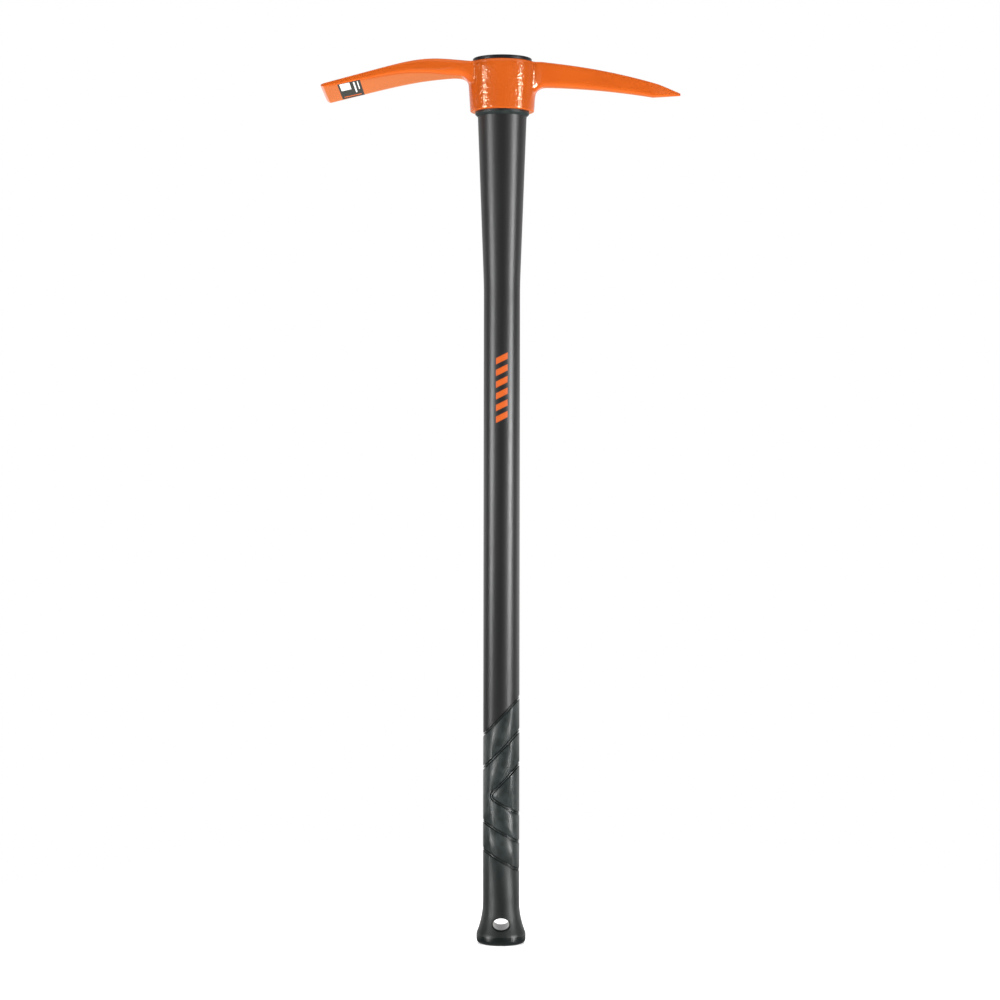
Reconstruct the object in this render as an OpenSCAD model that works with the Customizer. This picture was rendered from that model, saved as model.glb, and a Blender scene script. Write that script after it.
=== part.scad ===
// Pick mattock: a forged steel head on an oval handle of plastic over a fibreglass core.
// Frame: +Z runs up the handle from the middle of the butt's flat face.
// The pick points along +X and the adze blade along -X, so X is the plane of the swing.

/* [Handle] */
// Length from the butt to the underside of the head
handle_length = 857.5; // [700:0.5:1000]
// Width of the shaft, in the plane of the swing
shaft_w = 37.4; // [34:0.2:42]
// Depth of the shaft, across the swing
shaft_d = 29.8; // [28:0.2:34]
// Width of the throat where it meets the collar
throat_w = 50.4; // [47:0.2:54]
// Length of the throat's taper below the collar
throat_length = 174; // [100:1:250]
// Radius that blends the throat's taper into the shaft
throat_blend_r = 600; // [100:10:900]
// Diameter of the fibreglass core
core_dia = 19; // [12:0.5:21]
// Height of the core's lower end above the butt
core_end_z = 45; // [40:1:60]
// Plastic that closes the jacket below the core
core_end_wall = 5; // [3:0.5:7]

/* [Grip] */
// Thickness of the rubber, along the shaft's width
grip_wall = 3; // [2.2:0.1:4]
// Height of the top groove on its high side
grip_top = 254; // [240:1:300]
// Step down from one upper groove to the next
upper_pitch = 34.4; // [28:0.2:40]
// Rise of an upper groove across the shaft
upper_rise = 39; // [20:0.5:45]
// Height of the first lower groove on its low side
lower_start = 133.5; // [125:0.5:145]
// Step down from one lower groove to the next
lower_pitch = 28.9; // [20:0.1:32]
// Rise of a lower groove across the shaft
lower_rise = 21.7; // [10:0.1:25]
// Width of a groove
groove_w = 2.2; // [1.2:0.1:3.5]
// Depth of a groove, along the shaft's width
groove_depth = 1.8; // [0.8:0.1:2]
// Radius of the bend where an upper and a lower groove meet
chevron_r = 5; // [2:0.5:10]

/* [Butt] */
// Width of the flared butt
butt_w = 50.8; // [44:0.2:60]
// Height of the straight rim round the butt
rim_h = 10.6; // [7:0.2:14]
// Radius of the butt's lower edge
butt_edge_r = 4.5; // [1:0.5:5]
// Height where the flare runs out into the shaft
flare_top = 44; // [38:1:60]
// Height of the hanging hole's middle
hole_z = 21.6; // [20:0.2:28]
// Width of the hanging hole
hole_w = 17; // [12:0.5:22]
// Height of the hanging hole
hole_h = 12; // [8:0.2:14]

/* [Eye] */
// Height of the boss round the eye
boss_h = 51; // [44:0.5:60]
// Width of the boss at its lower end
boss_w = 66.3; // [62:0.1:72]
// Width of the boss at its upper end
boss_top_w = 73; // [66:0.5:80]
// Depth of the boss at its lower end
boss_d = 50.4; // [48:0.2:58]
// Radius of the boss's lower edge
boss_edge_r = 3; // [1:0.5:4]
// Radius of the boss's upper edge
boss_rim_r = 2; // [1:0.5:3]
// Width of the handle's tenon in the eye
tenon_w = 46; // [42:0.5:47]
// Thickness of the bond at the lower end of the eye
bond_wall = 1.5; // [0.8:0.1:2]
// Width of the eye at its upper end
eye_top_w = 54; // [52:0.2:57]
// Width of the collar under the head
collar_w = 55.8; // [54.6:0.2:60]
// Height of the collar
collar_h = 5.2; // [4:0.1:8]
// Height of the slope on the collar's underside
collar_slope_h = 2.6; // [1:0.1:3.5]
// Width of the cap on the eye
cap_w = 61; // [58:0.5:64]
// Height of the cap over the boss
cap_h = 5.5; // [4:0.1:9]
// Height of the cap's upright edge
cap_edge_h = 3.6; // [0.8:0.1:4.5]
// Depth of the cap's plug in the eye
cap_plug_h = 5; // [3:0.5:8]

/* [Adze blade] */
// Reach of the cutting edge from the handle's middle
adze_reach = 184.3; // [165:0.1:220]
// Fall of the cutting edge below the top of the boss
adze_edge_drop = 30.9; // [24:0.1:38]
// Width of the cutting edge
adze_edge_w = 89; // [74:1:100]
// Thickness left at the cutting edge
adze_edge_t = 1.1; // [0.6:0.1:2]
// Thickness of the blade behind the edge bevel
adze_blade_t = 3.8; // [2.2:0.1:5]
// Length of the bevel behind the cutting edge
adze_bevel = 3.2; // [2:0.1:8]
// Radius of the blade's corners
adze_corner_r = 3; // [1:0.5:8]
// Reach of the bend in the blade's top face
adze_bend_reach = 70; // [60:1:85]
// Rise of that bend over the top of the boss
adze_bend_rise = 1.8; // [0.4:0.1:3]
// Radius of that bend
adze_bend_r = 125; // [60:5:150]
// Reach of the bend in the blade's underside
adze_belly_reach = 92; // [84:1:100]
// Radius of that underside bend
adze_belly_r = 240; // [120:10:280]
// Thickness of the neck between the boss and the blade
adze_neck_t = 13.2; // [10:0.1:15]
// Width of the neck
adze_neck_w = 29; // [24:0.5:36]
// Reach of the neck's narrowest place
adze_neck_reach = 51; // [46:1:56]
// Radius of the sweep from the neck to the blade
adze_neck_r = 45; // [20:1:55]
// Reach of the blade's shoulders
adze_shoulder_reach = 103; // [92:1:115]
// Width across the shoulders
adze_shoulder_w = 71; // [56:1:74]
// Radius of the shoulders
adze_shoulder_r = 70; // [20:5:90]

/* [Pick] */
// Reach of the pick's tip from the handle's middle
pick_reach = 184; // [175:1:230]
// Fall of the tip below the top of the boss
pick_tip_drop = 32.8; // [27:0.1:40]
// Thickness left at the tip
pick_tip_t = 2.4; // [0.8:0.1:3]
// Reach of the bend in the pick's top face
pick_bend_reach = 104; // [95:1:112]
// Fall of that bend below the top of the boss
pick_bend_drop = 8; // [5:0.1:10]
// Radius of that bend
pick_bend_r = 580; // [200:10:650]
// Length of the point along the top face, back from the tip
pick_point_length = 21; // [16:1:34]
// Fall of the top face where the point begins
pick_point_drop = 23.5; // [19:0.1:26]
// Length of the point underneath, back from the tip to the heel
pick_heel_length = 28; // [22:1:36]
// Fall of the heel below the top of the boss
pick_heel_drop = 35.2; // [29:0.1:38]
// Reach of the bend in the pick's underside
pick_belly_reach = 98; // [90:1:105]
// Fall of that underside bend
pick_belly_drop = 25.6; // [21:0.1:28]
// Radius of that underside bend
pick_belly_r = 780; // [200:10:850]
// Height of the pick where it leaves the boss
pick_root_h = 23.4; // [18:0.1:26]
// Width of the pick where it leaves the boss
pick_root_w = 25; // [20:0.5:30]
// Width of the pick at the heel
pick_heel_w = 16; // [10:0.5:20]
// Radius that blends the pick's sides into its point
pick_heel_r = 120; // [20:5:150]
// Radius where the root spreads into the boss
pick_root_r = 20; // [5:1:30]
// Reach of the place where the root is spread no more
pick_root_reach = 40; // [38:1:50]

/* [Fits] */
// Clearance between pieces that are bonded or moulded together
fit = 0.1; // [0.05:0.01:0.2]
// Radius under the arms, where they leave the boss
arm_fillet_r = 11; // [4:0.5:12]

/* [Hidden] */
$fn = 96;
// Straight steps in the arc of one rounded corner
arc_steps = 8;
// Most of a side that one rounded corner may take up
side_share = 0.95;
// How far every cut runs past the surface that it opens
overrun = 2;

// Heights of the seats, one above the other
jacket_end_z = core_end_z - core_end_wall;
collar_z = handle_length - collar_h;
boss_top_z = handle_length + boss_h;
tenon_top_z = boss_top_z - cap_plug_h;

// The handle, the eye and what fits in it share one oval: depth over width
oval_share = shaft_d / shaft_w;
boss_share = boss_d / boss_w;
liner_w = shaft_w - 2 * grip_wall;
eye_low_w = tenon_w + 2 * bond_wall;
eye_taper_share = (eye_top_w - eye_low_w) / boss_h;

// How far the arms run into the boss, and how far under its top they start
arm_root_reach = eye_low_w / 4;
arm_root_drop = boss_rim_r / 4;
arm_root_spread_share = 0.8;

// Reach of the two places where the pick's point begins, on the top face and at the heel
pick_point_reach = pick_reach - pick_point_length;
pick_heel_reach = pick_reach - pick_heel_length;

upper_slope_share = upper_rise / shaft_w;
lower_slope_share = lower_rise / shaft_w;

// Width of the eye at a height
function eye_w(z) = eye_low_w + eye_taper_share * (z - handle_length);

// Height of the centre line of an upper or a lower groove, at a place across the shaft
function upper_z(row, x) = grip_top - row * upper_pitch - upper_slope_share * (shaft_w / 2 - x);
function lower_z(row, x) = lower_start - row * lower_pitch + lower_slope_share * (shaft_w / 2 - x);

function unit(v) = v / norm(v);
function turned(v, angle) = [v.x * cos(angle) - v.y * sin(angle), v.x * sin(angle) + v.y * cos(angle)];

// The arc of radius r, or the largest one its sides have room for, that rounds corner b between a and c
function corner_arc(a, b, c, r) =
    let (u = unit(a - b), v = unit(c - b), half = acos(u * v) / 2)
    let (room = side_share * min(norm(a - b), norm(c - b)), fitted = min(r, room * tan(half)))
    let (middle = b + unit(u + v) * fitted / sin(half), first = b + u * fitted / tan(half) - middle)
    let (sweep = (180 - 2 * half) * -sign(cross(u, v)))
    [for (i = [0 : arc_steps]) middle + turned(first, sweep * i / arc_steps)];

// An outline from corners written as [x, y, radius]
function rounded(corners) = [
    for (i = [0 : len(corners) - 1])
        let (n = len(corners), a = corners[(i + n - 1) % n], b = corners[i], c = corners[(i + 1) % n])
        each (b[2] == 0
            ? [[b.x, b.y]]
            : corner_arc([a.x, a.y], [b.x, b.y], [c.x, c.y], b[2]))
];

// Both sides of a symmetrical outline, from the corners of its upper side
function both_sides(corners) = concat(
    corners,
    [for (i = [len(corners) - 1 : -1 : 0]) [corners[i].x, -corners[i].y, corners[i][2]]]
);

// Turns a profile of radii and heights into an oval piece, a quarter at a time
module oval_turned(profile, share = oval_share) {
    for (quarter = [0 : 90 : 270])
        scale([1, share, 1])
            rotate([0, 0, quarter])
                rotate_extrude(angle = 90) polygon(profile);
}

// Runs a shape drawn in the plane of the swing straight across the handle
module across(depth) {
    rotate([90, 0, 0]) linear_extrude(height = depth, center = true) children();
}

// A band of one width along a path of points
module stroke(path, width) {
    last = len(path) - 1;
    sides = [
        for (i = [0 : last])
            let (along = unit(path[min(i + 1, last)] - path[max(i - 1, 0)]))
            turned(along, 90) * width / 2
    ];
    polygon(concat(
        [for (i = [0 : last]) path[i] + sides[i]],
        [for (i = [last : -1 : 0]) path[i] - sides[i]]
    ));
}

// Centre lines of the grip's grooves: straight ones above and below, and a bent one between
function upper_groove(row) = [for (x = [-shaft_w, shaft_w]) [x, upper_z(row, x)]];
function lower_groove(row) = [for (x = [-shaft_w, shaft_w]) [x, lower_z(row, x)]];
function bent_groove() =
    let (top_row = 2)
    let (inset = (upper_z(top_row, shaft_w / 2) - lower_start) / (upper_slope_share + lower_slope_share))
    let (bend_x = shaft_w / 2 - inset)
    let (high = [shaft_w, upper_z(top_row, shaft_w)], low = [shaft_w, lower_z(0, shaft_w)])
    concat([high], corner_arc(high, [bend_x, upper_z(top_row, bend_x)], low, chevron_r), [low]);

// Everything below the slanted edge where the rubber meets the jacket
module below_grip_edge(gap) {
    edge_rise = norm([1, upper_slope_share]) * groove_w / 2;
    left = [-butt_w, upper_z(0, -butt_w) + edge_rise - gap];
    right = [butt_w, upper_z(0, butt_w) + edge_rise - gap];
    across(2 * butt_w) polygon([left, [left.x, -overrun], [right.x, -overrun], right]);
}

// Round rod of glass fibre in resin that carries the bending load
module fibreglass_core() {
    color("#d9d2b0")
        translate([0, 0, core_end_z])
            cylinder(d = core_dia, h = tenon_top_z - core_end_z);
}

// Plastic moulded round the core: shaft, throat and tenon in one
module handle_jacket() {
    profile = rounded([
        [0, jacket_end_z, 0],
        [shaft_w / 2, jacket_end_z, 0],
        [shaft_w / 2, collar_z - throat_length, throat_blend_r],
        [throat_w / 2, collar_z, 0],
        [tenon_w / 2, collar_z, 0],
        [tenon_w / 2, tenon_top_z, 0],
        [0, tenon_top_z, 0]
    ]);
    color("#3c3c3e")
        difference() {
            oval_turned(profile);
            difference() {
                below_grip_edge(0);
                oval_turned([
                    [0, -overrun], [liner_w / 2, -overrun],
                    [liner_w / 2, handle_length], [0, handle_length]
                ]);
            }
            translate([0, 0, core_end_z - fit])
                cylinder(d = core_dia + 2 * fit, h = handle_length + boss_h - core_end_z);
        }
}

// Rubber moulded over the lower shaft, with slanted grooves and a flared butt
module grip_sleeve() {
    flare_w = (butt_w - shaft_w) / 2;
    flare_h = flare_top - rim_h;
    flare_r = (pow(flare_h, 2) + pow(flare_w, 2)) / (2 * flare_w);
    flare_end = asin(flare_h / flare_r);
    flare = [
        for (i = [0 : arc_steps])
            let (angle = flare_end * (1 - i / arc_steps))
            [shaft_w / 2 + flare_r * (1 - cos(angle)), flare_top - flare_r * sin(angle)]
    ];
    foot = rounded([[0, 0, 0], [butt_w / 2, 0, butt_edge_r], [butt_w / 2, rim_h, 0]]);
    body = concat(
        [for (i = [0 : len(foot) - 2]) foot[i]],
        flare,
        [[shaft_w / 2, grip_top + shaft_w], [0, grip_top + shaft_w]]
    );
    cavity = [
        [0, jacket_end_z - fit], [liner_w / 2 + fit, jacket_end_z - fit],
        [liner_w / 2 + fit, handle_length], [0, handle_length]
    ];
    groove_floor = [
        [0, -overrun], [shaft_w / 2 - groove_depth, -overrun],
        [shaft_w / 2 - groove_depth, handle_length], [0, handle_length]
    ];
    color("#303735")
        difference() {
            intersection() {
                oval_turned(body);
                below_grip_edge(fit);
            }
            oval_turned(cavity);
            difference() {
                across(2 * butt_w) {
                    for (row = [0 : 1]) stroke(upper_groove(row), groove_w);
                    stroke(bent_groove(), groove_w);
                    for (row = [1 : 2]) stroke(lower_groove(row), groove_w);
                }
                oval_turned(groove_floor);
            }
            translate([0, 0, hole_z])
                scale([1, 1, hole_h / hole_w])
                    rotate([90, 0, 0])
                        cylinder(d = hole_w, h = 2 * butt_w, center = true);
        }
}

// Ring that seals the lower end of the eye and seats the head
module shoulder_collar() {
    bore = tenon_w / 2 + fit;
    color("#2b3130")
        oval_turned([
            [bore, collar_z], [throat_w / 2, collar_z],
            [collar_w / 2, collar_z + collar_slope_h],
            [collar_w / 2, handle_length], [bore, handle_length]
        ]);
}

// Side view and plan of the adze blade, drawn as if it pointed along +X
module adze_arm() {
    neck_z = boss_top_z - adze_neck_t;
    edge_z = boss_top_z - adze_edge_drop;
    side = rounded([
        [arm_root_reach, boss_top_z - arm_root_drop, 0],
        [boss_top_w / 2, boss_top_z - arm_root_drop, 0],
        [adze_bend_reach, boss_top_z + adze_bend_rise, adze_bend_r],
        [adze_reach, edge_z, 0],
        [adze_reach, edge_z - adze_edge_t, 0],
        [adze_reach - adze_bevel, edge_z - adze_blade_t + adze_edge_t, 0],
        [adze_belly_reach, neck_z, adze_belly_r],
        [boss_top_w / 2, neck_z, arm_fillet_r],
        [arm_root_reach, handle_length + boss_edge_r, 0]
    ]);
    plan = rounded(both_sides([
        [arm_root_reach, arm_root_spread_share * boss_d / 2, 0],
        [adze_neck_reach, adze_neck_w / 2, adze_neck_r],
        [adze_shoulder_reach, adze_shoulder_w / 2, adze_shoulder_r],
        [adze_reach, adze_edge_w / 2, adze_corner_r]
    ]));
    intersection() {
        across(adze_edge_w + overrun) polygon(side);
        linear_extrude(height = boss_top_z + boss_h) polygon(plan);
    }
}

// Side view and plan of the pick
module pick_arm() {
    tip_z = boss_top_z - pick_tip_drop;
    root_z = boss_top_z - arm_root_drop - pick_root_h;
    side = rounded([
        [arm_root_reach, boss_top_z - arm_root_drop, 0],
        [boss_top_w / 2, boss_top_z - arm_root_drop, 0],
        [pick_bend_reach, boss_top_z - pick_bend_drop, pick_bend_r],
        [pick_point_reach, boss_top_z - pick_point_drop, 0],
        [pick_reach, tip_z + pick_tip_t / 2, 0],
        [pick_reach, tip_z - pick_tip_t / 2, 0],
        [pick_heel_reach, boss_top_z - pick_heel_drop, 0],
        [pick_belly_reach, boss_top_z - pick_belly_drop, pick_belly_r],
        [boss_top_w / 2, root_z, arm_fillet_r],
        [arm_root_reach, handle_length + boss_edge_r, 0]
    ]);
    plan = rounded(both_sides([
        [arm_root_reach, arm_root_spread_share * boss_d / 2, 0],
        [pick_root_reach, pick_root_w / 2, pick_root_r],
        [pick_heel_reach, pick_heel_w / 2, pick_heel_r],
        [pick_reach, pick_tip_t / 2, 0]
    ]));
    intersection() {
        across(boss_d) polygon(side);
        linear_extrude(height = boss_top_z + boss_h) polygon(plan);
    }
}

// Forged steel head: boss, adze blade and pick in one, with an eye that widens upwards
module mattock_head() {
    boss = rounded([
        [0, handle_length, 0],
        [boss_w / 2, handle_length, boss_edge_r],
        [boss_top_w / 2, boss_top_z, boss_rim_r],
        [0, boss_top_z, 0]
    ]);
    eye_low_z = handle_length - overrun;
    eye_high_z = boss_top_z + overrun;
    color("#e2651f")
        difference() {
            union() {
                oval_turned(boss, boss_share);
                mirror([1, 0, 0]) adze_arm();
                pick_arm();
            }
            oval_turned([
                [0, eye_low_z], [eye_w(eye_low_z) / 2, eye_low_z],
                [eye_w(eye_high_z) / 2, eye_high_z], [0, eye_high_z]
            ]);
        }
}

// Cured resin that fills the eye round the tenon and wedges it there
module eye_bond() {
    inside = tenon_w / 2 + fit;
    color("#8d8257")
        oval_turned([
            [inside, handle_length], [eye_w(handle_length) / 2 - fit, handle_length],
            [eye_w(tenon_top_z) / 2 - fit, tenon_top_z], [inside, tenon_top_z]
        ]);
}

// Domed cap that closes the upper end of the eye
module eye_cap() {
    plug_w = eye_w(tenon_top_z) - 2 * fit;
    dome = [
        for (i = [0 : arc_steps])
            let (angle = 90 * i / arc_steps)
            [cap_w / 2 * cos(angle), boss_top_z + cap_edge_h + (cap_h - cap_edge_h) * sin(angle)]
    ];
    color("#1c1c1e")
        oval_turned(concat(
            [
                [0, tenon_top_z + fit], [plug_w / 2, tenon_top_z + fit],
                [plug_w / 2, boss_top_z], [cap_w / 2, boss_top_z]
            ],
            dome
        ));
}

fibreglass_core();
handle_jacket();
grip_sleeve();
shoulder_collar();
mattock_head();
eye_bond();
eye_cap();
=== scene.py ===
import math

import bmesh
import bpy
import numpy as np
from mathutils import Matrix, Vector


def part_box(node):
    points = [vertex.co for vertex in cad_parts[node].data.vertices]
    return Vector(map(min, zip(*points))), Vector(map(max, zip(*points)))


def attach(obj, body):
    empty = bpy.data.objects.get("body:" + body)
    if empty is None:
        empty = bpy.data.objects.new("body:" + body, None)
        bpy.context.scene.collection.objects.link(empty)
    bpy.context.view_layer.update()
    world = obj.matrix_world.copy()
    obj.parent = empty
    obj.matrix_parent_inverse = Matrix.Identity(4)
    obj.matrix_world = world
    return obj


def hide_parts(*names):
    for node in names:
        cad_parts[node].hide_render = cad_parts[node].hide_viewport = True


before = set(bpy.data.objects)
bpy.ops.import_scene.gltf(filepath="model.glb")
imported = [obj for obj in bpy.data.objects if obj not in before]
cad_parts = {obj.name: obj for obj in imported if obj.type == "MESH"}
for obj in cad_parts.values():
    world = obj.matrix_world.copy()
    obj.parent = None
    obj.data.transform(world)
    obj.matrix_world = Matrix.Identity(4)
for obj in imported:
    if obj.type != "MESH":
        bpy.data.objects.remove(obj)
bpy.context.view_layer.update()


# Fibreglass core: a round rod of glass fibres drawn through resin, which carries the bending load.
# The jacket is moulded round it, so nothing of it shows, and the CAD rod only gets its finish.
mm = 0.001


class Socket:
    """An output of a node tree. Sums and products of sockets add Math nodes to that tree."""

    def __init__(self, tree, output=None):
        self.tree = tree
        self.output = output

    def node(self, kind, settings=None, inputs=None, output=0):
        """Adds a node, sets it up, fills its inputs with values or links, and gives one output."""
        made = self.tree.nodes.new(kind)
        for name, value in (settings or {}).items():
            setattr(made, name, value)
        for name, value in (inputs or {}).items():
            if isinstance(value, Socket):
                self.tree.links.new(value.output, made.inputs[name])
            else:
                made.inputs[name].default_value = value
        return Socket(self.tree, made.outputs[output])

    def maths(self, operation, first, second):
        """Adds a Math node that works on two values or sockets."""
        return self.node("ShaderNodeMath", {"operation": operation}, {0: first, 1: second})

    def __add__(self, other):
        return self.maths("ADD", self, other)

    def __sub__(self, other):
        return self.maths("SUBTRACT", self, other)

    def __rsub__(self, other):
        return self.maths("SUBTRACT", other, self)

    def __mul__(self, other):
        return self.maths("MULTIPLY", self, other)

    __radd__ = __add__
    __rmul__ = __mul__


def new_finish(name, constants):
    """A material with its shader's fixed values, and the Socket that adds nodes to it."""
    material = bpy.data.materials.new(name)
    material.use_nodes = True
    shader = material.node_tree.nodes["Principled BSDF"]
    for socket, value in constants.items():
        shader.inputs[socket].default_value = value
    return material, Socket(material.node_tree)


def feed(material, links):
    """Links what changes over a surface to the material's shader."""
    shader = material.node_tree.nodes["Principled BSDF"]
    for socket, value in links.items():
        material.node_tree.links.new(value.output, shader.inputs[socket])


def noise(nodes, grain, detail=2, stretch=(1, 1, 1)):
    """Noise with blotches about a grain across, drawn out along each axis by its stretch."""
    place = nodes.node("ShaderNodeTexCoord", output="Object")
    scale = [1 / (grain * drawn) for drawn in stretch]
    spread = nodes.node("ShaderNodeMapping", inputs={"Vector": place, "Scale": scale})
    return nodes.node("ShaderNodeTexNoise", inputs={"Vector": spread, "Scale": 1, "Detail": detail})


def ramp(value, low, high):
    """A soft step from 0 where a value is low to 1 where it is high."""
    return value.node(
        "ShaderNodeMapRange",
        {"interpolation_type": "SMOOTHSTEP"},
        {"Value": value, "From Min": low, "From Max": high},
    )


def mix(share, first, second):
    """A colour between two others."""
    return share.node("ShaderNodeMix", {"data_type": "RGBA"}, {0: share, 6: first, 7: second}, output=2)


def bump(height, depth):
    """The normal of a surface that a height from 0 to 1 raises by a depth."""
    return height.node("ShaderNodeBump", inputs={"Height": height, "Distance": depth})


fibre_pale = (0.74, 0.68, 0.47, 1)
fibre_deep = (0.60, 0.52, 0.31, 1)
strand_w = 0.8 * mm
strand_draw = (1, 1, 60)
strand_depth = 0.04 * mm
core_finish, nodes = new_finish("glass fibre in resin", {"Specular IOR Level": 0.4})
strands = noise(nodes, strand_w, 3, strand_draw)
feed(core_finish, {
    "Base Color": mix(ramp(strands, 0.35, 0.7), fibre_pale, fibre_deep),
    "Roughness": 0.35 + 0.2 * strands,
    "Normal": bump(strands, strand_depth),
})
core_low, core_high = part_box("fibreglass_core")
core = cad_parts["fibreglass_core"]
core.data.materials.clear()
core.data.materials.append(core_finish)


# Jacket: black plastic moulded round the core, oval, and wider in the throat under the head.
# It runs up into the eye as a tenon. At the grip it is cut back to a liner along a slanted edge.
shaft_w = 37.4 * mm
shaft_d = 29.8 * mm
oval = shaft_d / shaft_w
throat_w = 50.4 * mm
throat_length = 174 * mm
throat_blend = 600 * mm
tenon_w = 46 * mm
liner_w = 31.4 * mm
fit = 0.1 * mm
jacket_low, jacket_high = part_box("handle_jacket")
collar_low, collar_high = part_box("shoulder_collar")
grip_top = 254 * mm
upper_rise = 39 * mm
groove_w = 2.2 * mm
upper_slope = upper_rise / shaft_w
jacket_bevel = 0.4 * mm
bevel_steps = 3
jacket_steps = 128
arc_steps = 8


def rounded(corners):
    """Points along corners written as (across, up, radius), each rounded by an arc."""
    points = []
    for i, (across, up, radius) in enumerate(corners):
        corner = Vector((across, up))
        if radius == 0:
            points.append(corner)
            continue
        back = (Vector(corners[i - 1][:2]) - corner).normalized()
        ahead = (Vector(corners[i + 1][:2]) - corner).normalized()
        half = back.angle(ahead) / 2
        middle = corner + (back + ahead).normalized() * radius / math.sin(half)
        first = corner + back * radius / math.tan(half) - middle
        last = corner + ahead * radius / math.tan(half) - middle
        points += [middle + first.slerp(last, step / arc_steps) * radius for step in range(arc_steps + 1)]
    return points


def turn(bm, profile, steps, closed=False):
    """Spins a profile of radii and heights once round the handle's middle."""
    ring = [bm.verts.new((radius, 0, height)) for radius, height in profile]
    pairs = list(zip(ring, ring[1:] + ring[:1]))
    edges = [bm.edges.new(pair) for pair in (pairs if closed else pairs[:-1])]
    bmesh.ops.spin(
        bm, geom=ring + edges, axis=(0, 0, 1), cent=(0, 0, 0),
        angle=2 * math.pi, steps=steps, use_merge=True,
    )


def pull_in(bm, loop, shares, centre):
    """Extrudes an open loop of edges and draws it in to a share of its size along each axis."""
    made = bmesh.ops.extrude_edge_only(bm, edges=loop)["geom"]
    verts = [part for part in made if isinstance(part, bmesh.types.BMVert)]
    bmesh.ops.scale(bm, vec=shares, space=Matrix.Translation(-centre), verts=verts)
    return new_loop(made)


def sink(bm, loop, height):
    """Extrudes an open loop of edges straight up or down to a height and closes it there."""
    made = bmesh.ops.extrude_edge_only(bm, edges=loop)["geom"]
    verts = [part for part in made if isinstance(part, bmesh.types.BMVert)]
    level = Matrix.Translation((0, 0, -height))
    bmesh.ops.scale(bm, vec=(1, 1, 0), space=level, verts=verts)
    bmesh.ops.holes_fill(bm, edges=new_loop(made), sides=0)


def new_loop(made):
    """The open edges among what an extrusion made."""
    return [part for part in made if isinstance(part, bmesh.types.BMEdge) and part.is_boundary]


def open_edges(bm, low, high):
    """The open edges of a mesh whose middles lie between two heights."""
    edges = [edge for edge in bm.edges if edge.is_boundary]
    return [edge for edge in edges if low <= (edge.verts[0].co.z + edge.verts[1].co.z) / 2 <= high]


def add_piece(name, bm, finish, node, sharp_from=40):
    """Makes a finished mesh the piece that stands for a CAD node, with edges sharp from an angle on."""
    bmesh.ops.recalc_face_normals(bm, faces=bm.faces)
    mesh = bpy.data.meshes.new(name)
    bm.to_mesh(mesh)
    bm.free()
    mesh.shade_smooth()
    mesh.set_sharp_from_angle(angle=math.radians(sharp_from))
    mesh.materials.append(finish)
    piece = bpy.data.objects.new(name, mesh)
    bpy.context.scene.collection.objects.link(piece)
    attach(piece, "root")
    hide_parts(node)
    return piece


bm = bmesh.new()
turn(bm, rounded([
    (shaft_w / 2, grip_top - 2 * upper_rise, 0),
    (shaft_w / 2, collar_low.z - throat_length, throat_blend),
    (throat_w / 2, collar_low.z, 0),
    (tenon_w / 2, collar_low.z, 0),
    (tenon_w / 2, jacket_high.z, 0),
]), jacket_steps)
bmesh.ops.scale(bm, vec=(1, oval, 1), verts=bm.verts)

edge_normal = Vector((-upper_slope, 0, 1)).normalized()
edge_middle = Vector((0, 0, grip_top - upper_rise / 2))
edge_centre = edge_middle + Vector((0, 0, groove_w / 2 / edge_normal.z))
bmesh.ops.bisect_plane(
    bm, geom=bm.verts[:] + bm.edges[:] + bm.faces[:],
    plane_co=edge_centre, plane_no=edge_normal, clear_inner=True,
)
edge_loop = open_edges(bm, 0, collar_low.z)
liner_share = liner_w / shaft_w
liner_loop = pull_in(bm, edge_loop, (liner_share,) * 3, edge_centre)
sink(bm, liner_loop, jacket_low.z)
bmesh.ops.bevel(
    bm, geom=edge_loop, offset=jacket_bevel, segments=bevel_steps, profile=0.5, affect="EDGES", material=-1,
)
bore_share = (core_high.x + fit) / (tenon_w / 2)
tenon_loop = open_edges(bm, jacket_high.z - fit, jacket_high.z + fit)
bore_loop = pull_in(bm, tenon_loop, (bore_share, bore_share / oval, 1), Vector((0, 0, jacket_high.z)))
sink(bm, bore_loop, core_low.z - fit)


def part_of(vector, axis):
    """One of the three numbers of a vector."""
    return vector.node("ShaderNodeSeparateXYZ", inputs={"Vector": vector}, output=axis)


def between(value, low, high):
    """1 where a value lies between two others, and 0 elsewhere."""
    edge = 0.2 * mm
    return ramp(value, low - edge, low + edge) * (1 - ramp(value, high - edge, high + edge))


# A row of plain slanted bars is printed on the front of the shaft
hatch_w = 12 * mm
bar_h = 6.5 * mm
bar_slope = 0.5
bar_starts = [height * mm for height in (539, 551, 563, 575, 587, 599)]
cloud_w = 30 * mm
cloud_draw = (1, 1, 4)
plastic_grain_w = 0.5 * mm
plastic_grain_depth = 0.012 * mm
jacket_dark = (0.0080, 0.0080, 0.0084, 1)
jacket_grey = (0.0115, 0.0115, 0.0120, 1)
bar_orange = (0.55, 0.095, 0.010, 1)
jacket_finish, nodes = new_finish("satin black plastic", {"Specular IOR Level": 0.5})
place = nodes.node("ShaderNodeTexCoord", output="Object")
slant = part_of(place, "Z") - bar_slope * part_of(place, "X")
bars = sum(between(slant, start, start + bar_h) for start in bar_starts)
bars = bars * between(part_of(place, "X"), -hatch_w / 2, hatch_w / 2)
bars = bars * between(part_of(place, "Y"), -shaft_d, 0)
clouds = noise(nodes, cloud_w, 3, cloud_draw)
grain = noise(nodes, plastic_grain_w)
feed(jacket_finish, {
    "Base Color": mix(bars, mix(clouds, jacket_dark, jacket_grey), bar_orange),
    "Roughness": 0.31 + 0.06 * clouds + 0.04 * grain,
    "Normal": bump(grain, plastic_grain_depth),
})
add_piece("jacket", bm, jacket_finish, "handle_jacket")


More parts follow.
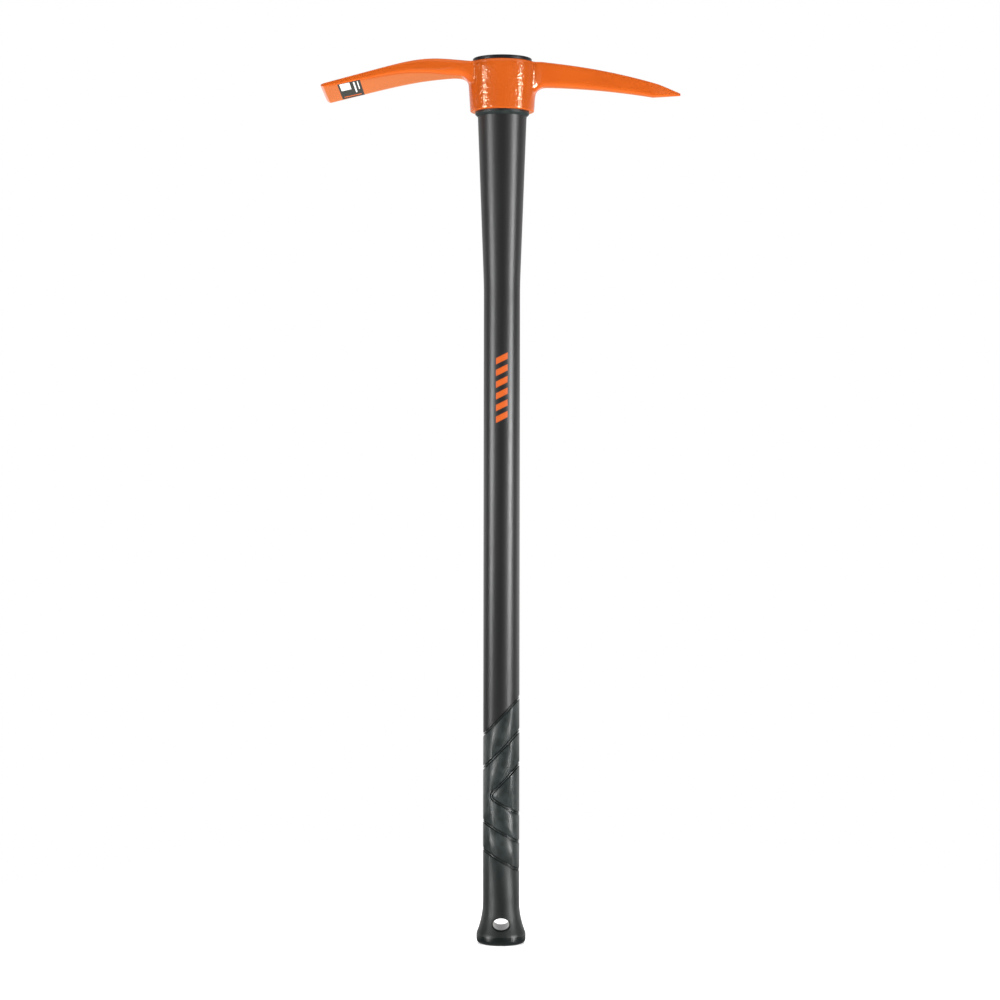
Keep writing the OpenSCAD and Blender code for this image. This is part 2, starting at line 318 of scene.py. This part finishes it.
# Grip: rubber moulded over the liner, flush with the jacket, with slanted grooves for the hands.
# It flares out to a butt with a straight rim, and an oval hole runs through it to hang the tool by.
upper_pitch = 34.4 * mm
lower_start = 133.5 * mm
lower_pitch = 28.9 * mm
lower_rise = 21.7 * mm
lower_slope = lower_rise / shaft_w
chevron_r = 5 * mm
butt_w = 50.8 * mm
rim_h = 10.6 * mm
rim_bevel = 0.7 * mm
butt_edge = 4.5 * mm
flare_top = 44 * mm
hole_z = 21.6 * mm
hole_w = 17 * mm
hole_h = 12 * mm
hole_steps = 48
grip_steps = 144
cut_snap = fit / 100
slot_w = 0.9 * mm
# Section of a groove, a ridge between two slots, and of the hole's lip: how far out, and how deep there
groove_section = np.array([
    (0, 0.25), (0.4, 0.28), (0.5, 0.4), (0.54, 2.2), (1.5, 2.2), (1.56, 0.1), (1.7, 0),
]) * mm
lip_section = np.array([(0, 2.2), (0.1, 1.9), (0.85, 0.2), (0.95, 0.06), (1.15, 0)]) * mm


def outside(place, tangents):
    """How far a place lies outside an outline given by its tangents, and the lean of the nearest."""
    return max(((place - point).dot(normal), lean) for point, normal, lean in tangents)


def cut_round(bm, faces, tangents, offset):
    """Cuts faces along an outline that an offset widens, and returns the faces inside it."""
    for point, normal, _ in tangents:
        edges = {edge for face in faces for edge in face.edges}
        verts = {vert for face in faces for vert in face.verts}
        seat = point + normal * offset
        cut = bmesh.ops.bisect_plane(
            bm, geom=[*faces, *edges, *verts], dist=cut_snap, plane_co=seat, plane_no=normal,
        )
        kept = [part for part in cut["geom"] if isinstance(part, bmesh.types.BMFace)]
        faces = [face for face in kept if (face.calc_center_median() - seat).dot(normal) < 0]
    return faces


def slanted(height, slope, side=1):
    """The one tangent of a straight groove that crosses the handle's middle at a height."""
    return [(Vector((0, 0, height)), side * Vector((-slope, 0, 1)).normalized(), slope)]


edge_groove = slanted(edge_middle.z, upper_slope)
upper_groove = slanted(edge_middle.z - upper_pitch, upper_slope)
bend_above = slanted(edge_middle.z - 2 * upper_pitch, upper_slope)
bend_below = slanted(lower_start + lower_rise / 2, -lower_slope, -1)
lower_grooves = [
    slanted(lower_start + lower_rise / 2 - row * lower_pitch, -lower_slope) for row in (1, 2)
]

# The bent groove: its two straight legs and the tangents of the arc between them
(above, above_out, above_lean), (below, below_out, below_lean) = bend_above + bend_below
bend_x, bend_z = np.linalg.solve(
    [[above_out.x, above_out.z], [below_out.x, below_out.z]],
    [above.dot(above_out) - chevron_r, below.dot(below_out) - chevron_r],
)
bend_centre = Vector((bend_x, 0, bend_z))
bent_groove = []
for share in np.linspace(0, 1, arc_steps + 1):
    out = above_out.slerp(below_out, share)
    lean = above_lean + (below_lean - above_lean) * share
    bent_groove.append((bend_centre + out * chevron_r, out, lean))

hole = []
for turned in np.linspace(0, 2 * math.pi, hole_steps, endpoint=False):
    point = Vector((hole_w / 2 * math.cos(turned), 0, hole_z + hole_h / 2 * math.sin(turned)))
    out = Vector((math.cos(turned) / hole_w, 0, math.sin(turned) / hole_h)).normalized()
    hole.append((point, out, 0))

flare_side = (butt_w - shaft_w) / 2
flare_rise = flare_top - rim_h
flare_r = (flare_rise**2 + flare_side**2) / (2 * flare_side)
flare_turn = math.asin(flare_rise / flare_r)
flare = [
    (shaft_w / 2 + flare_r * (1 - math.cos(turned)), flare_top - flare_r * math.sin(turned))
    for turned in np.linspace(flare_turn, 0, 2 * arc_steps + 1)
]
foot = rounded([(butt_w / 2 - 2 * butt_edge, 0, 0), (butt_w / 2, 0, butt_edge), (butt_w / 2, rim_h, 0)])
bm = bmesh.new()
turn(bm, foot[:-1] + flare + [(shaft_w / 2, grip_top + upper_rise)], grip_steps)
bmesh.ops.scale(bm, vec=(1, oval, 1), verts=bm.verts)
bmesh.ops.holes_fill(bm, edges=open_edges(bm, 0, fit), sides=0)
rim_edges = [edge for edge in bm.edges if all(abs(vert.co.z - rim_h) < fit for vert in edge.verts)]
bmesh.ops.bevel(
    bm, geom=rim_edges, offset=rim_bevel, segments=bevel_steps, profile=0.5, affect="EDGES", material=-1,
)

# The grooves are cut as lines on the plain surface first, and sunk when all lines are there
widths = groove_section[:, 0]
for width in widths:
    cut_round(bm, bm.faces[:], edge_groove, -width)
seam = edge_groove[0][0] + edge_groove[0][1] * (groove_w / 2 - slot_w)
bmesh.ops.bisect_plane(
    bm, geom=bm.verts[:] + bm.edges[:] + bm.faces[:],
    plane_co=seam, plane_no=edge_normal, clear_outer=True,
)
for line in [upper_groove, *lower_grooves]:
    for offset in sorted({*widths, *-widths}):
        cut_round(bm, bm.faces[:], line, offset)
bend_faces = [
    face for face in bm.faces
    if outside(face.calc_center_median(), upper_groove)[0] < -widths[-1]
    and outside(face.calc_center_median(), lower_grooves[0])[0] > widths[-1]
]
for offset in sorted({*widths, *-widths}, reverse=True):
    bend_faces = cut_round(bm, bend_faces, bent_groove, offset)
for vert in bm.verts:
    for line in [edge_groove, upper_groove, bent_groove, *lower_grooves]:
        away, lean = outside(vert.co, line)
        reach = max(-away, 0) if line is edge_groove else abs(away)
        depth = np.interp(reach, *groove_section.T)
        if depth > 0:
            inwards = -vert.co.x * depth / (shaft_w / 2)
            vert.co += Vector((inwards, -vert.co.y * depth / (shaft_w / 2), lean * inwards))
            break

lip_w = lip_section[-1, 0]
hole_faces = [
    face for face in bm.faces
    if abs(face.calc_center_median().x) < hole_w / 2 + 2 * lip_w
    and abs(face.calc_center_median().z - hole_z) < hole_h / 2 + 2 * lip_w
]
for offset in lip_section[::-1, 0]:
    hole_faces = cut_round(bm, hole_faces, hole, offset)
bmesh.ops.delete(bm, geom=hole_faces, context="FACES")
hole_loops = open_edges(bm, 0, flare_top)
tunnel = bmesh.ops.bridge_loops(bm, edges=hole_loops)
bmesh.ops.subdivide_edges(bm, edges=tunnel["edges"], cuts=arc_steps, use_grid_fill=True)
for vert in bm.verts:
    away = outside(vert.co, hole)[0]
    if -fit < away < lip_w and vert.co.z < flare_top:
        depth = np.interp(away, *lip_section.T)
        vert.co.y -= math.copysign(min(depth, abs(vert.co.y)), vert.co.y)

top_loop = open_edges(bm, flare_top, grip_top)
seam_centre = Vector((0, 0, edge_middle.z + (groove_w / 2 - slot_w) / edge_normal.z))
cavity_share = (liner_w / 2 + fit) / (shaft_w / 2 - groove_section[0, 1])
cavity_loop = pull_in(bm, top_loop, (cavity_share,) * 3, seam_centre)
sink(bm, cavity_loop, jacket_low.z - fit)

# Towards the butt the rubber's colour is painted darker, as painted shade where less light reaches it, and
# it is rougher there. Its rim is smoother, and so is the hole, round its mould pin
rubber_painted_shade = (0.0045, 0.0063, 0.0060, 1)
rubber_grey = (0.0110, 0.0148, 0.0141, 1)
rubber_pale = (0.0210, 0.0280, 0.0268, 1)
dark_to = 50 * mm
pale_from = 120 * mm
rim_inset = 1 * mm
rim_fade = 1.5 * mm
hole_glaze = (1.02, 1.2)
mottle_w = 7 * mm
rubber_grain_w = 1.1 * mm
rubber_grain_depth = 0.06 * mm
rubber_finish, nodes = new_finish("moulded rubber", {"Specular IOR Level": 0.4})
place = nodes.node("ShaderNodeTexCoord", output="Object")
across = part_of(place, "X") * (2 / hole_w)
along = (part_of(place, "Z") - hole_z) * (2 / hole_h)
moulded_smooth = 1 - ramp(across * across + along * along, *hole_glaze)
# Mask of the painted shade towards the butt; the same mask also makes the rubber rougher there
on_butt = 1 - ramp(part_of(place, "Z"), dark_to, pale_from)
on_rim = 1 - ramp(part_of(place, "Z"), rim_h - rim_inset - rim_fade, rim_h - rim_inset)
mottle = ramp(noise(nodes, mottle_w, 4), 0.3, 0.7)
grain = noise(nodes, rubber_grain_w, 3)
skin = 0.30 + 0.1 * mottle + 0.06 * grain + 0.07 * on_butt
feed(rubber_finish, {
    "Base Color": mix(on_butt, mix(mottle, rubber_grey, rubber_pale), rubber_painted_shade),
    "Roughness": skin * (1 - 0.6 * moulded_smooth) * (1 - 0.5 * on_rim),
    "Normal": bump((0.8 * grain + 0.08 * mottle) * (1 - moulded_smooth), rubber_grain_depth),
})
add_piece("grip", bm, rubber_finish, "grip_sleeve", sharp_from=35)


# Collar: a ring of the same rubber, pressed over the tenon under the head to seat and seal it.
# Its underside slopes in to the throat.
collar_w = collar_high.x * 2
collar_slope_h = 2.6 * mm
collar_edge_r = 0.8 * mm
seat_edge_r = 0.4 * mm
collar_bore = tenon_w / 2 + fit
bm = bmesh.new()
turn(bm, rounded([
    (collar_bore, collar_low.z, 0),
    (throat_w / 2, collar_low.z, 0),
    (collar_w / 2, collar_low.z + collar_slope_h, collar_edge_r),
    (collar_w / 2, collar_high.z, seat_edge_r),
    (collar_bore, collar_high.z, 0),
]), jacket_steps, closed=True)
bmesh.ops.scale(bm, vec=(1, oval, 1), verts=bm.verts)
add_piece("collar", bm, rubber_finish, "shoulder_collar")


# Head: one steel forging, with a boss round the eye, a broad adze blade and a square pick.
# It is sprayed with glossy orange paint. The boss keeps the pitted skin of the forge under the paint.
head_low, head_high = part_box("mattock_head")
cap_low, cap_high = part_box("eye_cap")
boss_h = 51 * mm
boss_top = head_low.z + boss_h
boss_w = 66.3 * mm
boss_top_w = 73 * mm
boss_d = 50.4 * mm
boss_share = boss_d / boss_w
eye_low_w = 49 * mm
eye_top_w = 54 * mm
adze_reach = -head_low.x
pick_reach = head_high.x
blade_side = head_high.y
boss_columns = 40
adze_columns = 4
pick_columns = 3
# Drops of the cage's rows on the boss below its top, in mm: each arm grows from the rows above its own
boss_rows = [51, 49, 40, 31, 26, 21, 12, 4, 1.2]
pick_row = 3
adze_row = 5
eye_inset = 2 * mm
rim_r = 4 * mm
lower_edge = 2 * mm
# How far a cage's corner is drawn in to round it by a true arc
corner_share = 1 - math.sqrt(0.5)
# A corner of an arm is rounded by at most this share of its thickness
softest_share = 0.65
# How tight the fillet is where the side of an arm leaves the boss
root_crease = 0.5


def boss_side(drop):
    """Half the boss's width at a drop below its top."""
    return (boss_top_w + (boss_w - boss_top_w) * drop / boss_h) / 2


bm = bmesh.new()
column = bm.verts.layers.int.new("column")
row = bm.verts.layers.int.new("row")
crease = bm.edges.layers.float.new("crease_edge")
wall = [(boss_side(drop * mm), boss_top - drop * mm) for drop in boss_rows[:-1]]
rim = [
    (boss_top_w / 2 - corner_share * rim_r, boss_top - corner_share * rim_r),
    (boss_top_w / 2 - rim_r, boss_top),
]
over = [(eye_top_w / 2 + eye_inset, boss_top), (eye_top_w / 2, boss_top)]
eye = [(eye_top_w / 2, boss_top - eye_inset), (eye_low_w / 2, head_low.z + eye_inset)]
under = [
    (eye_low_w / 2, head_low.z),
    (eye_low_w / 2 + eye_inset, head_low.z),
    (boss_w / 2 - lower_edge, head_low.z),
]
turn(bm, wall + rim + over + eye + under, boss_columns, closed=True)

# Each vertex of the wall notes its row and, counted from the middle of the nearer arm, its column
turn_step = 2 * math.pi / boss_columns
for vert in bm.verts:
    turned = math.atan2(vert.co.y, abs(vert.co.x))
    vert[column] = round(turned / turn_step)
    drop = (boss_top - vert.co.z) / mm
    vert[row] = min(range(len(boss_rows)), key=lambda i: abs(boss_rows[i] - drop))
eye_side = (eye_top_w / 2 + eye_inset + boss_w / 2 - lower_edge) / 2
outer = [vert for vert in bm.verts if vert.co.xy.length > eye_side]
inner = [vert for vert in bm.verts if vert.co.xy.length <= eye_side]
wall_faces = [
    face for face in bm.faces
    if all(vert.co.xy.length > eye_side for vert in face.verts)
    and len({vert[row] for vert in face.verts}) == 2
]
bmesh.ops.scale(bm, vec=(1, boss_share, 1), verts=outer)
bmesh.ops.scale(bm, vec=(1, oval, 1), verts=inner)


def height_at(reach, outline):
    """Height of an outline at a reach from the handle's middle."""
    across, up = zip(*outline)
    return np.interp(reach, across, up)


def arm_root(side, columns, low_row):
    """The faces of the boss's wall that an arm grows from, with a tight fillet down either side."""
    root = [
        face for face in wall_faces
        if face.calc_center_median().x * side > 0
        and all(abs(vert[column]) <= columns and vert[row] >= low_row for vert in face.verts)
    ]
    for edge in {edge for face in root for edge in face.edges}:
        if all(abs(vert[column]) == columns for vert in edge.verts):
            edge[crease] = root_crease
    return root


def draw_out(root, side, columns, low_row, stations, top, bottom, plan, lean, top_soft, bottom_soft):
    """Draws an arm out of its root on the boss, station by station, as the smith does.

    Its outlines, the lean of its sides and the rounding of its edges are all given by the reach.
    """
    cap = root
    rows = len(boss_rows) - 1 - low_row
    for reach in stations:
        made = bmesh.ops.extrude_face_region(bm, geom=cap)["geom"]
        bmesh.ops.delete(bm, geom=cap, context="FACES")
        cap = [part for part in made if isinstance(part, bmesh.types.BMFace)]
        high = height_at(reach, top)
        low = height_at(reach, bottom)
        half = height_at(reach, plan)
        softest = softest_share * min(high - low, half)
        soft_high = min(height_at(reach, top_soft), softest)
        soft_low = min(height_at(reach, bottom_soft), softest)
        for vert in {vert for face in cap for vert in face.verts}:
            step = vert[row] - low_row
            soft = np.interp(step, [0, rows], [soft_low, soft_high])
            up = np.interp(step, [0, 1, rows - 1, rows], [low, low + soft_low, high - soft_high, high])
            side_half = half - height_at(reach, lean) * (high - up)
            widths = [0, side_half - soft, side_half]
            across = np.interp(abs(vert[column]), [0, columns - 1, columns], widths)
            if abs(vert[column]) == columns and step in (0, rows):
                across -= corner_share * soft
                up += corner_share * soft * (1 if step == 0 else -1)
            vert.co = (side * reach, math.copysign(across, vert[column]), up)


# A bend of an arm is written as its reach, its height or half width there, and its radius
root_top = (boss_top_w / 2, boss_top - 0.5 * mm, 0)
root_plan = (12 * mm, 20 * mm, 0)
root_fillet = 9 * mm
adze_root_foot = (boss_top_w / 2, boss_top - 18 * mm, 0)
adze_throat = (41 * mm, boss_top - 14.6 * mm, root_fillet)
adze_bend = (70 * mm, boss_top + 2.9 * mm, 125 * mm)
adze_belly = (92 * mm, boss_top - 14.2 * mm, 240 * mm)
adze_neck = (51 * mm, 14.5 * mm, 45 * mm)
adze_shoulder = (103 * mm, 35.5 * mm, 70 * mm)
adze_corner = 5 * mm
adze_bevel = (adze_reach - 3.2 * mm, boss_top - 33.6 * mm, 0)
edge_top = boss_top - 30.9 * mm
edge_foot = boss_top - 32 * mm
adze_root = arm_root(-1, adze_columns, adze_row)
pick_root = arm_root(1, pick_columns, pick_row)
adze_top = rounded([root_top, adze_bend, (adze_reach, edge_top, 0)])
adze_bottom = rounded([
    adze_root_foot, adze_throat, adze_belly, adze_bevel, (adze_reach, edge_foot, 0),
])
adze_plan = rounded([
    root_plan, adze_neck, adze_shoulder, (adze_reach, blade_side, adze_corner), (adze_reach, 0, 0),
])[:-1]
# Reaches of the rings of the blade's cage, in mm, close together where its outline turns
adze_stations = [38.5, 42, 50, 60, 70, 82, 96, 112, 130, 150, 170, 179.4, 181, 182.3, 183.4, 184]
draw_out(
    adze_root, -1, adze_columns, adze_row, [reach * mm for reach in adze_stations] + [adze_reach],
    adze_top, adze_bottom, adze_plan,
    lean=[(50 * mm, -0.1), (100 * mm, -0.1), (130 * mm, 0)],
    top_soft=[(40 * mm, 2.5 * mm), (65 * mm, 2.5 * mm), (110 * mm, 1.4 * mm), (adze_reach, 0.8 * mm)],
    bottom_soft=[
        (40 * mm, 7 * mm), (52 * mm, 7 * mm), (64 * mm, 3.5 * mm), (110 * mm, 2.5 * mm),
        (adze_reach, 0.4 * mm),
    ],
)

pick_root_foot = (boss_top_w / 2, boss_top - 28 * mm, 0)
pick_throat = (42 * mm, boss_top - 24.9 * mm, root_fillet)
pick_bend = (104 * mm, boss_top - 8 * mm, 580 * mm)
pick_belly = (98 * mm, boss_top - 26 * mm, 780 * mm)
pick_point = (163 * mm, boss_top - 23.5 * mm, 0)
pick_heel = (156 * mm, boss_top - 35.2 * mm, 0)
pick_neck_side = (40 * mm, 12.5 * mm, 20 * mm)
pick_heel_side = (156 * mm, 8 * mm, 120 * mm)
tip_top = boss_top - 31.6 * mm
tip_foot = boss_top - 34 * mm
tip_side = 1.2 * mm
pick_top = rounded([root_top, pick_bend, pick_point, (pick_reach, tip_top, 0)])
pick_bottom = rounded([pick_root_foot, pick_throat, pick_belly, pick_heel, (pick_reach, tip_foot, 0)])
pick_plan = rounded([root_plan, pick_neck_side, pick_heel_side, (pick_reach, tip_side, 0)])
pick_stations = [39.5, 43.5, 50, 60, 76, 96, 116, 136, 150, 155, 156, 157, 162, 172, 180, 183.2]
draw_out(
    pick_root, 1, pick_columns, pick_row, [reach * mm for reach in pick_stations] + [pick_reach],
    pick_top, pick_bottom, pick_plan,
    lean=[(45 * mm, 0.15), (150 * mm, 0.15), (pick_reach, 0)],
    top_soft=[(40 * mm, 2.5 * mm), (110 * mm, 2 * mm), (150 * mm, 1.5 * mm), (pick_reach, 0.8 * mm)],
    bottom_soft=[(40 * mm, 3 * mm), (110 * mm, 2.5 * mm), (150 * mm, 1.8 * mm), (pick_reach, 0.8 * mm)],
)


def size_of(value):
    """A number without its sign."""
    return value.node("ShaderNodeMath", {"operation": "ABSOLUTE"}, {0: value})


# A blank two-tone sticker lies on the underside of the blade: each part's reaches and distances aside
film = (144.5 * mm, 167.5 * mm, -38 * mm, 38 * mm)
white_block = (155.5 * mm, 165.5 * mm, -36 * mm, -3 * mm)
upper_line = (150.5 * mm, 152 * mm, -34 * mm, 16 * mm)
lower_line = (147 * mm, 148 * mm, -34 * mm, 4 * mm)
foot_line = (147 * mm, 165 * mm, 27 * mm, 31 * mm)
film_black = (0.016, 0.017, 0.019, 1)
print_white = (0.72, 0.72, 0.70, 1)


def patch(reach, aside, box):
    """1 inside a box on the blade, given as two reaches and two distances aside."""
    return between(reach, *box[:2]) * between(aside, *box[2:])


paint_orange = (0.50, 0.089, 0.010, 1)
paint_deep = (0.46, 0.078, 0.0085, 1)
paint_shine = (1, 0.93, 0.7, 1)
pitted_to = 34 * mm
plain_from = 46 * mm
pit_w = 3.2 * mm
peel_w = 9 * mm
tone_w = 40 * mm
paint_depth = 0.08 * mm
sticker_rough = 0.4
paint_finish, nodes = new_finish("glossy orange paint", {"Specular Tint": paint_shine})
place = nodes.node("ShaderNodeTexCoord", output="Object")
on_boss = 1 - ramp(size_of(part_of(place, "X")), pitted_to, plain_from)
pits = ramp(noise(nodes, pit_w, 1), 0.42, 0.6)
peel = noise(nodes, peel_w, 1)
tone = noise(nodes, tone_w)
facing = part_of(nodes.node("ShaderNodeTexCoord", output="Normal"), "Z")
blade = (0 - part_of(place, "X"), part_of(place, "Y"))
sticker = patch(*blade, film) * ramp(0 - facing, 0.5, 0.8)
white = patch(*blade, white_block) + patch(*blade, upper_line) + patch(*blade, lower_line)
paint = mix(ramp(tone, 0.3, 0.8), paint_orange, paint_deep)
sticker_face = mix(patch(*blade, foot_line), mix(white, film_black, print_white), paint_orange)
feed(paint_finish, {
    "Base Color": mix(sticker, paint, sticker_face),
    "Roughness": (0.02 + 0.03 * tone) * (1 - sticker) + sticker_rough * sticker,
    "Normal": bump(pits * on_boss + 0.2 * peel + 0.9 * sticker, paint_depth),
})
head = add_piece("head", bm, paint_finish, "mattock_head", sharp_from=180)
smooth = head.modifiers.new("forged curves", "SUBSURF")
smooth.levels = 2
smooth.render_levels = 2


# Bond: casting resin poured into the eye round the tenon, where it sets hard and wedges the head on.
# The collar and the cap hide it, so the CAD casting only gets its finish.
resin_pale = (0.33, 0.27, 0.13, 1)
resin_deep = (0.22, 0.17, 0.07, 1)
swirl_w = 6 * mm
swirl_depth = 0.05 * mm
bond_finish, nodes = new_finish("cast resin", {"Specular IOR Level": 0.5})
swirl = noise(nodes, swirl_w, 3)
feed(bond_finish, {
    "Base Color": mix(swirl, resin_pale, resin_deep),
    "Roughness": 0.15 + 0.15 * swirl,
    "Normal": bump(swirl, swirl_depth),
})
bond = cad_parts["eye_bond"]
bond.data.materials.clear()
bond.data.materials.append(bond_finish)


# Cap: a domed black plastic plug, pressed into the top of the eye to cover the tenon's end.
# Its brim sits on the boss.
cap_w = cap_high.x * 2
cap_edge_h = 3.6 * mm
cap_edge_r = 0.9 * mm
plug_play = 0.7 * mm
plug_w = eye_top_w - plug_play
dome_h = cap_high.z - boss_top - cap_edge_h
dome_r = ((cap_w / 2) ** 2 + dome_h**2) / (2 * dome_h)
dome_turn = math.asin(cap_w / 2 / dome_r)
dome = [
    (dome_r * math.sin(turned), cap_high.z - dome_r * (1 - math.cos(turned)))
    for turned in np.linspace(dome_turn, 0, 2 * arc_steps, endpoint=False)
]
bm = bmesh.new()
turn(bm, [(plug_w / 2, cap_low.z), (plug_w / 2, boss_top)] + rounded([
    (plug_w / 2, boss_top, 0),
    (cap_w / 2, boss_top, seat_edge_r),
    (*dome[0], cap_edge_r),
    (*dome[1], 0),
])[1:] + dome[2:], jacket_steps)
bmesh.ops.scale(bm, vec=(1, oval, 1), verts=bm.verts)
bmesh.ops.holes_fill(bm, edges=[edge for edge in bm.edges if edge.is_boundary], sides=0)

cap_black = (0.006, 0.006, 0.007, 1)
cap_grey = (0.012, 0.012, 0.013, 1)
cap_cloud_w = 8 * mm
cap_grain_w = 0.6 * mm
cap_grain_depth = 0.015 * mm
cap_finish, nodes = new_finish("black plastic", {"Specular IOR Level": 0.3})
clouds = noise(nodes, cap_cloud_w, 3)
grain = noise(nodes, cap_grain_w)
feed(cap_finish, {
    "Base Color": mix(clouds, cap_black, cap_grey),
    "Roughness": 0.25 + 0.1 * clouds,
    "Normal": bump(grain, cap_grain_depth),
})
add_piece("cap", bm, cap_finish, "eye_cap")


# Studio: a pale floor that fades into white, a tall soft light on either side, and white behind.
# Broad lamps that leave no reflection fill in the front, the back and the undersides.
# The camera stands in front of the tool, level, at about half its height.
floor_r = 0.7
floor_steps = 96
bm = bmesh.new()
bmesh.ops.create_circle(bm, cap_ends=True, segments=floor_steps, radius=floor_r)
floor_mesh = bpy.data.meshes.new("floor")
bm.to_mesh(floor_mesh)
bm.free()
floor = bpy.data.objects.new("floor", floor_mesh)
bpy.context.scene.collection.objects.link(floor)
floor.visible_glossy = False
floor.visible_shadow = False
floor_finish, nodes = new_finish("pale floor", {
    "Base Color": (0.92, 0.92, 0.92, 1), "Roughness": 0.9, "Specular IOR Level": 0.1,
    "Emission Color": (1, 1, 1, 1), "Emission Strength": 0.5,
})
place = nodes.node("ShaderNodeTexCoord", output="Object")
far = nodes.node("ShaderNodeVectorMath", {"operation": "LENGTH"}, {0: place}, output="Value")
feed(floor_finish, {"Alpha": 1 - ramp(far, 0.15 * floor_r, 0.95 * floor_r)})
floor_mesh.materials.append(floor_finish)


def soft_light(turned, *angles):
    """A light that rises between the first two angles, in degrees, and falls between the others."""
    inner, rise, fall, outer = (math.radians(angle) for angle in angles)
    return ramp(turned, inner, rise) * (1 - ramp(turned, fall, outer))


# Seen from the tool: back is 1 behind it and -1 at the camera, up is the sine of the height over level,
# and turned is the angle round from the camera. Each light has its strength before it.
world = bpy.data.worlds.new("white studio")
bpy.context.scene.world = world
world.use_nodes = True
nodes = Socket(world.node_tree)
way = nodes.node("ShaderNodeTexCoord", output="Generated")
back = part_of(way, "Y")
up = part_of(way, "Z")
turned = nodes.maths("ARCTAN2", part_of(way, "X"), 0 - back)
strips = 78 * soft_light(turned, 44, 48, 54, 58) + 50 * soft_light(0 - turned, 43, 48, 54, 59)
panels = 2.2 * soft_light(turned, 2, 52, 56, 63) + 2.8 * soft_light(0 - turned, 2, 52, 58, 66)
rims = 2.2 * soft_light(turned, 85, 105, 130, 155) + 1.6 * soft_light(0 - turned, 85, 105, 130, 155)
rims = rims * (1 - ramp(up, -0.02, 0.05))
sides = (strips + panels + rims) * (1 - ramp(up, -0.1, 0.18)) * (1 - ramp(0 - up, 0.10, 0.19))
high_sides = 0.08 * strips * ramp(up, 0.3, 0.45) * (1 - ramp(up, 0.55, 0.7))
behind = 0.9 * ramp(back, -0.4, 0.5) * ramp(up, -0.33, -0.05) * (1 - ramp(up, 0.15, 0.4))
above = 1.0 * ramp(up, 0.42, 0.65) * ramp(0 - back, -0.3, 0.3)
below = 0.25 * ramp(0 - up, 0.3, 0.6)
room = 0.04 + high_sides + behind + above + below
# The camera sees plain white. The floor behind the tool gives the undersides a warm reflection
seen = nodes.node("ShaderNodeLightPath", output="Is Camera Ray")
sky = world.node_tree.nodes["Background"]
glow = (1 - seen) * ramp(0 - up, 0.1, 0.16) * ramp(back, 0.93, 0.97)
plain_white = (1, 1, 1, 1)
warm_floor = (1, 0.97, 0.6, 1)
world.node_tree.links.new(mix(glow, plain_white, warm_floor).output, sky.inputs["Color"])
world.node_tree.links.new((seen + (1 - seen) * (sides + room)).output, sky.inputs["Strength"])

fill_spread = math.radians(20)
for name, strength, tilt in [("front fill", 1.0, 30), ("back fill", 3.5, -60), ("floor fill", 5.6, 180)]:
    lamp_data = bpy.data.lights.new(name, "SUN")
    lamp_data.energy = strength
    lamp_data.angle = fill_spread
    lamp = bpy.data.objects.new(name, lamp_data)
    lamp.rotation_euler = (math.radians(tilt), 0, 0)
    lamp.visible_glossy = False
    bpy.context.scene.collection.objects.link(lamp)

camera_place = (-0.0017, -2.1, 0.457)
camera_roll = -0.00148
camera_data = bpy.data.cameras.new("camera")
camera_data.lens = 73.2
camera_data.sensor_width = 36
camera = bpy.data.objects.new("camera", camera_data)
camera.location = camera_place
camera.rotation_euler = (math.radians(90), camera_roll, 0)
bpy.context.scene.collection.objects.link(camera)
bpy.context.scene.camera = camera
bpy.context.scene.view_settings.view_transform = "Standard"
